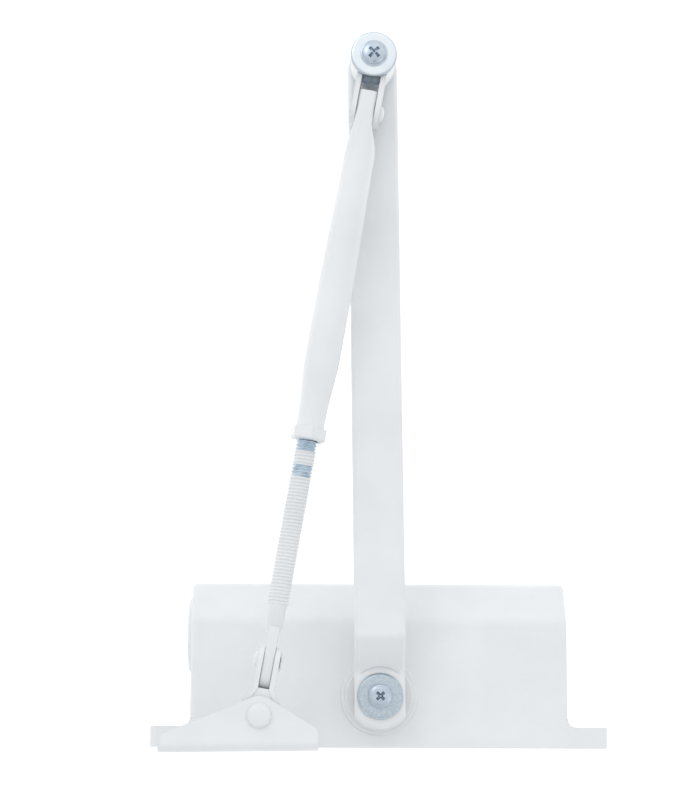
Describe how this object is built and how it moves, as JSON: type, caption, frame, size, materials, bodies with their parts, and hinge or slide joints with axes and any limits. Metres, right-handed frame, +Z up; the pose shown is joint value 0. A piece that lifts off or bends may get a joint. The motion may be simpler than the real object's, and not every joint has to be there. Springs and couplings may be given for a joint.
{
  "type": "door closer",
  "caption": "Surface-mounted rack-and-pinion door closer: eared housing, folding arm with elbow yoke, adjustable threaded rod and a pivoting frame shoe.",
  "frame": {"origin": "centre of the four mounting holes, on the face that lies against the door or frame", "axes": "+Y out of the mounting face towards the door; X along the body, with the end plug at +X; +Z up along the spindle towards the arm"},
  "size_m": [0.172, 0.2682, 0.0929],
  "materials": {
    "housing_paint": "white satin powder coat on die-cast aluminium",
    "white_paint": "white satin powder coat on steel",
    "zinc_steel": "bright zinc plating with a blue tint",
    "plain_steel": "machined steel, oiled",
    "bearing_steel": "ground steel",
    "spring_steel": "drawn spring wire",
    "cast_piston": "machined cast iron, oiled",
    "valve_brass": "turned brass",
    "seal_rubber": "moulded nitrile rubber",
    "cap_plastic": "moulded white plastic"
  },
  "bodies": {
    "closer_body": {"housing": "housing_paint", "end_plug": "white_paint", "plug_seal": "seal_rubber", "spring_seat": "plain_steel", "upper_bearing": "bearing_steel", "upper_shaft_seal": "seal_rubber", "upper_seal_nut": "white_paint", "lower_bearing": "bearing_steel", "lower_shaft_seal": "seal_rubber", "lower_seal_nut": "white_paint", "lower_cap": "cap_plastic", "return_spring": "spring_steel"},
    "spindle": {"pinion_shaft": "plain_steel", "main_arm": "white_paint", "spindle_washer": "zinc_steel", "spindle_screw": "zinc_steel", "elbow_bush": "zinc_steel", "elbow_washer": "zinc_steel", "elbow_screw": "zinc_steel"},
    "piston": {"piston": "cast_piston", "piston_seal": "seal_rubber", "check_retainer": "plain_steel"},
    "check_ball": {"check_ball": "bearing_steel"},
    "sweep_valve": {"sweep_valve": "valve_brass", "sweep_valve_seal": "seal_rubber"},
    "latch_valve": {"latch_valve": "valve_brass", "latch_valve_seal": "seal_rubber"},
    "elbow_yoke": {"elbow_yoke": "white_paint", "elbow_rivet": "white_paint"},
    "forearm_tube": {"forearm_tube": "white_paint"},
    "lock_nut": {"lock_nut": "white_paint"},
    "threaded_rod": {"threaded_rod": "white_paint"},
    "shoe_yoke": {"shoe_yoke": "white_paint", "shoe_rivet": "white_paint", "shoe_spacer": "white_paint"},
    "shoe": {"shoe_bracket": "white_paint", "pivot_rivet": "white_paint"}
  },
  "joints": [
    {"name": "pinion_turn", "type": "hinge", "parent": "closer_body", "child": "spindle", "pos_m": [0, -0.019, 0], "axis": [0, 0, 1], "range_deg": [0, 170], "stiffness_Nm_per_rad": 3.367, "springref_deg": -85.94},
    {"name": "piston_slide", "type": "slide", "parent": "closer_body", "child": "piston", "axis": [1, 0, 0], "range_m": [0, 0.034], "deforming": ["return_spring"]},
    {"name": "check_ball_slide", "type": "slide", "parent": "piston", "child": "check_ball", "axis": [1, 0, 0], "range_m": [0, 0.0043]},
    {"name": "elbow_turn", "type": "hinge", "parent": "spindle", "child": "elbow_yoke", "pos_m": [0.0037, -0.25697, 0.05], "axis": [0, 0, 1], "continuous": true},
    {"name": "elbow_tilt", "type": "hinge", "parent": "elbow_yoke", "child": "forearm_tube", "pos_m": [0.00663, -0.23718, 0.0494], "axis": [0.9853, -0.1711, 0], "range_deg": [0, 12]},
    {"name": "lock_nut_turn", "type": "hinge", "parent": "forearm_tube", "child": "lock_nut", "pos_m": [0.02706, -0.11487, 0.0494], "axis": [0.1711, 0.9853, 0], "continuous": true},
    {"name": "rod_length", "type": "slide", "parent": "forearm_tube", "child": "threaded_rod", "axis": [0.1711, 0.9853, 0], "range_m": [-0.038, 0.025]},
    {"name": "shoe_tilt", "type": "hinge", "parent": "threaded_rod", "child": "shoe_yoke", "pos_m": [0.04099, -0.03112, 0.0494], "axis": [0.9853, -0.1711, 0], "range_deg": [0, 15]},
    {"name": "shoe_turn", "type": "hinge", "parent": "shoe_yoke", "child": "shoe", "pos_m": [0.04413, -0.01137, 0.05], "axis": [0, 0, 1], "range_deg": [-80, 80]},
    {"name": "sweep_valve_turn", "type": "hinge", "parent": "closer_body", "child": "sweep_valve", "pos_m": [-0.062, -0.018, 0.009], "axis": [1, 0, 0], "range_deg": [0, 540]},
    {"name": "latch_valve_turn", "type": "hinge", "parent": "closer_body", "child": "latch_valve", "pos_m": [-0.062, -0.018, -0.009], "axis": [1, 0, 0], "range_deg": [0, 540]}
  ],
  "couplings": [
    {"joint": "piston_slide", "follows": "pinion_turn", "m_per_rad": 0.011375}
  ]
}
